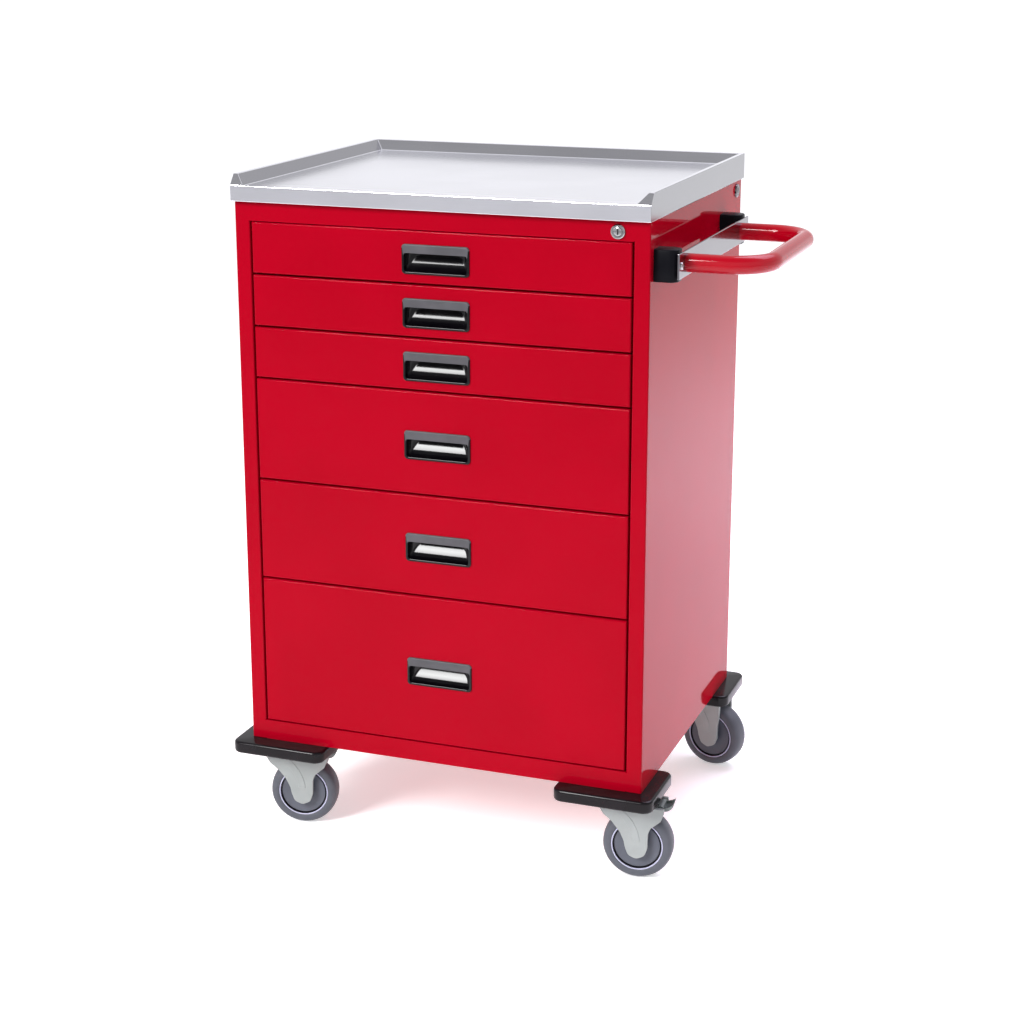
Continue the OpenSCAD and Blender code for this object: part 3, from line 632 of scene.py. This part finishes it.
def row_tree():
    tree, start, end = node_group("row_of_pieces", {
        "Piece": "Object", "Count": "Int", "Start": "Vector", "Step": "Vector",
        "Finish": "Material"})
    add, link = tree.nodes.new, tree.links.new
    line, info = add("GeometryNodeMeshLine"), add("GeometryNodeObjectInfo")
    instance, real = add("GeometryNodeInstanceOnPoints"), add("GeometryNodeRealizeInstances")
    dress = add("GeometryNodeSetMaterial")
    line.mode = "OFFSET"
    link(start.outputs["Count"], line.inputs["Count"])
    link(start.outputs["Start"], line.inputs["Start Location"])
    link(start.outputs["Step"], line.inputs["Offset"])
    link(start.outputs["Piece"], info.inputs["Object"])
    link(line.outputs["Mesh"], instance.inputs["Points"])
    link(info.outputs["Geometry"], instance.inputs["Instance"])
    link(instance.outputs["Instances"], real.inputs["Geometry"])
    link(real.outputs["Geometry"], dress.inputs["Geometry"])
    link(start.outputs["Finish"], dress.inputs["Material"])
    link(dress.outputs["Geometry"], end.inputs["Geometry"])
    return tree


screw_z = (screw_low.z + screw_high.z) / 2
screws = grown("rail_screw_heads", row_tree(), {
    "Piece": head, "Count": 2, "Start": at(screw_low.x, screw_low.y + head_r, screw_z),
    "Step": (0, (screw_high.y - screw_low.y - 2 * head_r) * MM, 0), "Finish": chrome},
    bpy.data.meshes.new("empty"), "cabinet", ["rail_screws"])
screws.data.shade_smooth()
screws.data.set_sharp_from_angle(angle=math.radians(35))
bpy.data.objects.remove(head)

# %% [markdown]
# ## Corner bumpers
# Each bumper is a moulded slab with round corners and a generous round along its top and
# bottom edge, which catches a line of light. Rings of the same outline, drawn in towards
# the edges, make the slab; two circles line the hole that the caster's boss fills.

# %% Corner bumpers
BUMPER_THICK = -box_mm("corner_bumpers")[0].z
SLAB, BOSS_R = Vector((145, 118)), 24.3


def bumper(low, high, hole):
    """One slab between two corners, with the boss hole's centre and radius."""
    thick, soft, r = BUMPER_THICK, 4.0, 15.0
    rings = []
    for side in (1, -1):
        for k in range(6):
            a = math.radians(90 * k / 5) if side > 0 else math.radians(90 - 90 * k / 5)
            pull_in = soft * (1 - math.sin(a))
            z = -soft * (1 - math.cos(a)) if side > 0 else -thick + soft * (1 - math.cos(a))
            rings.append([(x, y, z) for x, y in
                          outline((low[0] + pull_in, low[1] + pull_in),
                                  (high[0] - pull_in, high[1] - pull_in), r - pull_in, 9)])
    centre = ((low[0] + high[0]) / 2, (low[1] + high[1]) / 2)
    turn = [math.atan2(p[1] - centre[1], p[0] - centre[0]) for p in rings[0]]
    for z in (-thick, 0.0):
        rings.append([(hole[0] + hole[2] * math.cos(a), hole[1] + hole[2] * math.sin(a), z)
                      for a in turn])
    return loft(rings, loop=True)


bump_low, bump_high = box_mm("corner_bumpers")
swivels = {s: (Vector(joints[f"caster_{s}_swivel"]["pos_m"]) - corner) / MM for s in SLOTS}
bumper_parts = []
for s in SLOTS:
    x, y = swivels[s].x, swivels[s].y
    low = (bump_low.x if x < cab_w / 2 else bump_high.x - SLAB.x,
           bump_low.y if y < cab_d / 2 else bump_high.y - SLAB.y)
    bumper_parts.append(bumper(low, (low[0] + SLAB.x, low[1] + SLAB.y), (x, y, BOSS_R)))
bumpers = make("corner_bumper_slabs", bumper_parts, local_frame(corner), "cabinet",
               bumper_black, ["corner_bumpers"], sharp=50)
print("bumpers:", len(bumpers.data.polygons), "faces")

# %% [markdown]
# ## Rail brackets
# The brackets are blocks with big rounds at their outer upright edges and a small round
# at the top and bottom. They are lofts too, of a D-shaped outline.

# %% Rail brackets
brk_low, brk_high = box_mm("rail_brackets")
BRACKET_L, BRACKET_R = 32.0, 12.0


def bracket(y0):
    outer, inner = brk_high.x, brk_low.x
    rings = []
    for z, pull_in in ((brk_low.z, 1.6), (brk_low.z + 0.5, 0.5), (brk_low.z + 1.6, 0),
                       (brk_high.z - 1.6, 0), (brk_high.z - 0.5, 0.5), (brk_high.z, 1.6)):
        r = BRACKET_R - pull_in
        ring = [(inner, y0 + BRACKET_L - pull_in), (inner, y0 + pull_in)]
        for cy, a0 in ((y0 + pull_in + r, -90), (y0 + BRACKET_L - pull_in - r, 0)):
            ring += [(outer - pull_in - r + r * math.cos(math.radians(a0 + 90 * i / 8)),
                      cy + r * math.sin(math.radians(a0 + 90 * i / 8))) for i in range(9)]
        rings.append([(x, y, z) for x, y in ring])
    return loft(rings)


make("rail_bracket_blocks", [bracket(brk_low.y), bracket(brk_high.y - BRACKET_L)],
     local_frame(corner), "cabinet", bracket_black, ["rail_brackets"], sharp=50)

# %% [markdown]
# ## Recessed pulls
# A pull is one moulding: a raised frame, a lip above the hand opening and a bowl behind
# it. The bowl slopes up and back, so that its polished face catches the light just under
# the lip. All of it is one loft, from the back of the cup round the frame and down into
# the bowl. The lip has its own pebbled texture, and a lighter grey base colour that is
# painted sheen, for the light its upward curve catches. Each row of the bowl is the rim's
# share that is left at a depth in millimetres.

# %% Recessed pulls
BOWL = ((1.0, 0.0), (0.955, 1.9), (0.90, 3.8), (0.83, 5.6), (0.74, 7.5), (0.63, 9.3),
        (0.50, 11.1), (0.36, 12.8), (0.20, 14.5), (0.08, 15.6))
BOWL_TOP, BOWL_START, BOWL_SIDES = 7.0, -0.6, 0.2
LIP_ABOVE, LIP_BEFORE = 8.2, -0.4


def pull_rings(half_w, half_h, proud, depth):
    edge, lip = 3.5, 12.5

    def frame_ring(inset, r, y):
        return [(x, y, z) for x, z in outline((-half_w + inset, -half_h + inset),
                                              (half_w - inset, half_h - inset), r, 7)]

    def hand_ring(inset, r, y):
        return [(x, y, z) for x, z in outline((-half_w + edge + inset, -half_h + edge + inset),
                                              (half_w - edge - inset, half_h - lip - inset), r, 7)]

    rings = [frame_ring(2.8, 2.5, depth), frame_ring(2.8, 2.5, 0.0), frame_ring(0, 5, 0.0),
             frame_ring(0, 5, -proud + 1.3), frame_ring(0.35, 4.7, -proud + 0.55),
             frame_ring(1.1, 4.0, -proud + 0.05), frame_ring(1.5, 3.7, -proud),
             hand_ring(-0.9, 4.4, -proud), hand_ring(-0.25, 4.0, -proud + 0.3),
             hand_ring(0, 3.8, -proud + 1.0)]
    rim = hand_ring(0.1, 3.7, 0.0)
    for share, deep in BOWL:
        rings.append([(x * share ** BOWL_SIDES, deep + BOWL_START,
                       BOWL_TOP + (z - BOWL_TOP) * share) for x, _, z in rim])
    return rings


def is_lip(middle):
    return 1 if middle.z > LIP_ABOVE and middle.y < LIP_BEFORE else 0


for k in DRAWERS:
    low, high = box_mm(f"drawer_{k}_pull")
    middle = at((low.x + high.x) / 2, 0, (low.z + high.z) / 2)
    pull = make(f"drawer_{k}_pull_moulding",
                [loft(pull_rings((high.x - low.x) / 2, (high.z - low.z) / 2, -low.y, high.y))],
                local_frame(middle), f"drawer_{k}", [pull_black, pull_grip_and_sheen],
                [f"drawer_{k}_pull"], is_lip, sharp=48)
print("pull:", len(pull.data.polygons), "faces each")

# %% [markdown]
# ## Casters
# A caster hangs from the cart on a swivel, so its pieces are drawn about the swivel axis,
# with X along the trail, and then turned to where the frame's own joints say. The fork's
# legs sweep down from a broad hood to a round foot, with a raised curved rib on each.

# %% Casters: places
AXLE = {}
for s in SLOTS:
    roll = joints[f"wheel_{s}_roll"]
    place = (Vector(roll["pos_m"]) - corner) / MM
    turn = math.atan2(-roll["axis"][0], roll["axis"][1])
    AXLE[s] = {"turn": turn, "z": place.z, "trail": (place.xy - swivels[s].xy).length,
               "frame": local_frame(at(swivels[s].x, swivels[s].y, 0), turn)}
axle_z, trail = AXLE["front_left"]["z"], AXLE["front_left"]["trail"]
LEG_IN, LEG_T = 18.5, 5.0
HOOD_UP, HOOD_H, HOOD_BACK = 53, 9, -21.8
hood_z = axle_z + HOOD_UP
fork_top = box_mm("caster_front_left_fork")[1].z
print("axle at", round(axle_z, 1), "mm, trail", round(trail, 1), "mm")


# %% Casters: forks
def plate(path, y0, y1):
    """A flat plate between two heights along Y, from a path in X and Z."""
    return loft([[(x, y, z) for x, z in path] for y in (y0, y1)])


def rib_path():
    """The crescent on a leg, between two arcs, about the axle."""
    outer = [(-24, 58), (-13, 50), (-4, 38.5), (1.5, 27), (4.6, 15), (4.8, 10)]
    inner = [(-5.0, 10), (-6.5, 19), (-11, 30), (-19, 42), (-30, 52), (-37, 57)]
    return [(trail + x, axle_z + z) for x, z in outer + inner]


LEG_RADII = [9, 9, 9, 9, 9, 14, 14, 14, 5, 3, 2, 2, 5, 5, 6, 6, 9]
# How far a leg reaches in front of the axle, and its hood in front of the swivel.
BRAKED_REACH, PLAIN_REACH = (38.8, 55), (19.8, 49.5)


def leg_path(reach):
    """A leg's outline; its hood ends at reach in front of the axle."""
    corners = [(16, 0), (11.5, -11.8), (0, -16.8), (-11.5, -11.8), (-16, 0), (-18, 10),
               (-24, 23), (-35, 37), (-48, 48), (-52, 55), (-52, 61.5), (reach, 61.5),
               (reach - 0.5, 54), (min(34, reach - 0.8), 43), (min(27, reach - 1.2), 37),
               (min(20, reach - 1.8), 31), (16.4, 22)]
    return [(trail + x, axle_z + z) for x, z in rounded_path(corners, LEG_RADII)]


def fork_parts(braked):
    reach, front = BRAKED_REACH if braked else PLAIN_REACH
    legs_path = leg_path(reach)
    parts = []
    for side in (-1, 1):
        parts.append(plate(legs_path, side * LEG_IN, side * (LEG_IN + LEG_T)))
        parts.append(plate(rib_path(), side * (LEG_IN + LEG_T - 0.5),
                           side * (LEG_IN + LEG_T + 0.7)))
    wide = LEG_IN + 1
    parts.append(loft([[(x, y, z) for x, y in outline((HOOD_BACK, -wide), (front, wide), 4, 4)]
                       for z in (hood_z, hood_z + HOOD_H)]))
    disc = [(29, hood_z + 8), (29, fork_top - 0.8), (28.2, fork_top), (8.1, fork_top),
            (8.1, hood_z + 8)]
    parts.append(turned(disc, 72))
    return parts


for s in SLOTS:
    fork = make(f"caster_{s}_fork_moulding", fork_parts(s.startswith("front")), AXLE[s]["frame"],
                f"caster_{s}", fork_grey, [f"caster_{s}_fork"], sharp=35)
    soften(fork, 0.9, 3, 40)
print("fork:", len(fork.data.polygons), "faces before softening")

# %% [markdown]
# ## Wheels
# The tyre and the core are turned shapes. The tyre has a slightly crowned tread and round
# shoulders. The core shows a pale ring against the tyre, a dark groove inside it, a flat
# disc and a hub. Each part of the core's profile has its own finish.

# %% Wheels
TYRE = [(37, 15.2), (38.2, 16), (41.5, 16), (45, 15.4), (47.6, 13.4), (49.3, 9.6), (50, 4),
        (50, -4), (49.3, -9.6), (47.6, -13.4), (45, -15.4), (41.5, -16), (38.2, -16), (37, -15.2)]
CORE = [(5.1, 18.1), (11.5, 18.1), (12.6, 17.2), (13, 12.6), (30.6, 12.6), (32.2, 13.2),
        (32.8, 12.4), (33.0, 10.2), (34.8, 10.2), (35.0, 14.6), (35.5, 15.5), (36.4, 15.5),
        (36.98, 14.8)]
CORE = CORE + [(r, -w) for r, w in reversed(CORE)]
lay = Matrix.Rotation(math.radians(90), 4, "X")


def core_zone(middle):
    r, w = math.hypot(middle.x, middle.y), abs(middle.z)
    if r > 34.95 and w > 9:
        return 2
    return 1 if r > 32.7 and w > 9 else 0


for s in SLOTS:
    wheel_frame = AXLE[s]["frame"] @ Matrix.Translation((trail, 0, axle_z)) @ lay
    make(f"wheel_{s}_tyre", [turned(TYRE)], wheel_frame, f"wheel_{s}", tyre_rubber,
         [f"caster_{s}_tyre"], sharp=50)
    make(f"wheel_{s}_core", [turned(CORE)], wheel_frame, f"wheel_{s}",
         [core_grey, groove_black, ring_light], [f"caster_{s}_core"], core_zone, sharp=30)
print("turned", len(SLOTS), "wheels")

# %% [markdown]
# ## Brake pedals
# The two front casters have a pedal: a shallow cup with side walls and an upturned toe,
# on a pin, with the shoe that presses on the tread. It is lofted along its length from a
# U-shaped section that grows and tips up.

# %% Brake pedals
PEDAL_X, PEDAL_HALF = 62.0, 14.0
PIN_R, PIN_HALF, HUB_R = 3.0, 21.8, 5.0
# Along the pedal: place, floor height, wall height, half width. The toe's row comes last.
PEDAL_ROWS = ((-2, -3.5, 5.4, 13.4), (3, -3.4, 5.6, 14), (8, -3.0, 5.8, 14),
              (12, -1.6, 5.6, 13.8), (15, 0.9, 4.8, 13.2), (17, 3.6, 3.4, 12.4))
pedal_z = (Vector(joints["brake_front_left_press"]["pos_m"]) - corner).z / MM
toe_top = box_mm("brake_pedal_front_left")[1].z - pedal_z


def pedal_section(x, floor, wall, half, thick=2.0):
    """A U across the pedal at x, with its floor's height and its walls' height."""
    w = half - thick
    return [(x, y, z) for y, z in (
        (-half, floor + 0.8), (-half + 0.8, floor), (half - 0.8, floor), (half, floor + 0.8),
        (half, floor + wall), (w, floor + wall), (w - 0.6, floor + thick),
        (-w + 0.6, floor + thick), (-w, floor + wall), (-half, floor + wall))]


def pedal_parts():
    toe = (18, toe_top - 2.4, 2.35, 11.4)
    parts = [loft([pedal_section(PEDAL_X + x, pedal_z + floor, wall, half)
                   for x, floor, wall, half in PEDAL_ROWS + (toe,)])]
    for r, half in ((HUB_R, PEDAL_HALF - 0.3), (PIN_R, PIN_HALF)):
        parts.append(loft([[(PEDAL_X + r * math.cos(a), y, pedal_z + r * math.sin(a))
                            for a in ring40] for y in (-half, half)]))
    low = box_mm("brake_pedal_front_left")[0].z
    parts.append(loft([[(PEDAL_X + x, y, z) for x, y in outline((-2.5, -8), (2.5, 8), 1.0, 3)]
                       for z in (low, pedal_z)]))
    return parts


for s in SLOTS[:2]:
    pedal = make(f"brake_pedal_{s}_moulding", pedal_parts(), AXLE[s]["frame"], f"brake_{s}",
                 pedal_grey, [f"brake_pedal_{s}"], sharp=35)
    soften(pedal, 0.4, 2, 40)

# %% [markdown]
# ## Cam locks
# A cam lock shows a chromed flange with a chamfered edge, and in it the turning barrel
# with its key slot. Both are turned shapes. The slot is a recess in the barrel, and its
# inside is painted near black as painted shade.

# %% Cam locks
# The key slot's near-black colour is painted shade in the recess.
slot_painted_shade = moulded("key_slot", (0.004, 0.004, 0.005), (0.006, 0.006, 0.007), 0.6, 0.5, 0.01)
face_out = Matrix.Rotation(math.radians(90), 4, "X")
lock_places = {
    "front_lock": (Vector(joints["front_lock_turn"]["pos_m"]), face_out),
    "side_lock": (Vector(joints["side_lock_turn"]["pos_m"]),
                  Matrix.Rotation(math.radians(90), 4, "Z") @ face_out)}
FLANGE = [(6.05, 2.6), (6.6, 3.0), (8.6, 3.0), (9.6, 2.3), (10, 1.2), (10, 0), (8.9, 0),
          (8.9, -22), (6.05, -22)]
FACE = [(0.02, 3.3), (4.9, 3.3), (5.7, 2.9), (6.0, 2.2), (6.0, -22.3), (0.02, -22.3)]
housing_parts = []
for name, (place, facing) in lock_places.items():
    points, faces = turned(FLANGE, 64)
    stood = [Matrix.Translation(place) @ facing @ (Vector(p) * MM) for p in points]
    housing_parts.append((stood, faces))
right_face = box_mm("side_panel_right")[1].x * MM + corner.x - 0.001


# Faces beyond the right panel belong to the side lock's flange, which takes the darker chrome:
# painted shade.
def on_the_side(middle):
    return 1 if middle.x > right_face else 0


make("lock_flanges", housing_parts, Matrix.Identity(4), "cabinet", [chrome, chrome_painted_shade],
     ["lock_housings"], on_the_side, sharp=28)
SLOT_CUT = loft([[(-0.7, -3.6, z), (0.7, -3.6, z), (0.7, 3.6, z), (-0.7, 3.6, z)]
                 for z in (1.8, 4.5)])
CRANK_R, CRANK_OFF = 2, 6 / math.sqrt(2)


def lock_barrel(name, with_crank):
    """The turning part of a lock; its key slot is cut with a Boolean, and its inside is painted
    dark as painted shade.
    """
    place, facing = lock_places[name]
    stand = Matrix.Translation(place) @ facing @ Matrix.Scale(MM, 4)
    # The side lock has no crank, and its barrel takes the darker chrome: painted shade.
    metal = chrome if with_crank else chrome_painted_shade
    parts = [turned(FACE, 64), turned([(0.02, -22.2), (9, -22.2), (9, -24.3), (0.02, -24.3)], 48)]
    if with_crank:
        parts.append(loft([[(CRANK_OFF + CRANK_R * math.cos(a),
                             -CRANK_OFF + CRANK_R * math.sin(a), z) for a in ring40]
                           for z in (-24.2, -34)]))
    barrel = make(name + "_barrel_turned", parts, stand, name, [metal, slot_painted_shade],
                  [name + "_barrel"], sharp=28)
    cutter = bpy.data.objects.new("slot_cutter",
                                  plain_mesh("slot_cutter", [SLOT_CUT], stand))
    for material in (metal, slot_painted_shade):
        cutter.data.materials.append(material)
    for polygon in cutter.data.polygons:
        polygon.material_index = 1
    bpy.context.scene.collection.objects.link(cutter)
    slot_cut = barrel.modifiers.new("key_slot", "BOOLEAN")
    slot_cut.object, slot_cut.operation, slot_cut.solver = cutter, "DIFFERENCE", "EXACT"
    slot_cut.material_mode = "INDEX"
    graph = bpy.context.evaluated_depsgraph_get()
    barrel.data = bpy.data.meshes.new_from_object(barrel.evaluated_get(graph), depsgraph=graph)
    barrel.modifiers.clear()
    bpy.data.objects.remove(cutter)


lock_barrel("front_lock", True)
lock_barrel("side_lock", False)
print("locks made")

# %% [markdown]
# ## Floor, sky and lamps
# The studio is plain: a pale floor, an almost white surround, a focused soft lamp ahead
# and above, and a second lamp over the floor at the far right. The surround darkens high
# up in front and is brightest low behind, which the side panel mirrors. The floor glows
# faintly under and behind the cart, which is painted light that lifts the cart's shadow,
# and is plain further in front, where the drawer fronts mirror it, so their red stays full.

# %% Floor, sky and lamps
FLOOR_R, FLOOR_Z = 40, -0.0004
ring_far = [(FLOOR_R * math.cos(a), FLOOR_R * math.sin(a), FLOOR_Z) for a in ring40]
floor_mesh = bpy.data.meshes.new("studio_floor")
floor_mesh.from_pydata([(0, 0, FLOOR_Z)] + ring_far, [],
                       [(0, 1 + i, 1 + (i + 1) % len(ring_far)) for i in range(len(ring_far))])
floor = bpy.data.objects.new("studio_floor", floor_mesh)
bpy.context.scene.collection.objects.link(floor)
# The floor's glow near the cart is painted light, which lifts the cart's shadow.
pale = Finish("studio_floor", Roughness=0.9, IOR=1.2, Emission_Strength=0.42)
on_floor = pale.node("ShaderNodeTexCoord", output="Object")
depth_on_floor = pale.node("ShaderNodeSeparateXYZ", {}, {0: on_floor}, 1)
speckle = pale.noise(2.0)
near = depth_on_floor.step(-2.6, -0.6)
pale.feed(Base_Color=pale.blend(near, (0.84, 0.84, 0.85), (0.97, 0.97, 0.98)),
          Emission_Color=pale.blend(near, (0, 0, 0), (1, 1, 1)),
          Normal=pale.bump(speckle, 0.02))
floor_mesh.materials.append(pale.material)

world = bpy.data.worlds.new("surround")
bpy.context.scene.world = world
world.use_nodes = True


class Surround(Finish):
    """The same sums, on the world's own tree."""

    def __init__(self, world):
        self.tree = world.node_tree
        self.shader = self.tree.nodes["Background"]


sky = Surround(world)
way = sky.node("ShaderNodeTexCoord", output="Generated")
parted = sky.node("ShaderNodeSeparateXYZ", {}, {0: way})
depth_way = Value(sky, parted.socket.node.outputs[1])
rise = Value(sky, parted.socket.node.outputs[2])
behind = depth_way.step(-0.35, 0.45)
lift = rise.step(0.45, 0.85)
low = 1 - rise.step(0.03, 0.2)
sky.feed(Color=(0.965, 0.965, 1.0),
         Strength=(0.88 - 0.62 * lift) * (1 - behind) + (0.86 + 0.30 * low) * behind)


def lamp(name, place, aim, size, watts, colour=(1, 1, 1), spread=180):
    data = bpy.data.lights.new(name, "AREA")
    data.shape, data.size, data.size_y = "RECTANGLE", *size
    data.energy, data.color, data.spread = watts, colour, math.radians(spread)
    item = bpy.data.objects.new(name, data)
    item.visible_camera = False
    item.location = place
    item.rotation_mode = "QUATERNION"
    item.rotation_quaternion = (Vector(aim) - Vector(place)).to_track_quat("-Z", "Y")
    bpy.context.scene.collection.objects.link(item)


# The far lamp shines almost straight down; straight down leaves its turn undefined.
lamp("key_softbox", (-2.5, -5.4, 4.45), (0, 0, 0.5), (2.0, 3.0), 75, spread=66)
lamp("far_softbox", (0.95, 1.6, 2.3), (0.95, 1.5999, 0), (1.5, 2.6), 37, (0.86, 0.78, 1.0), 120)
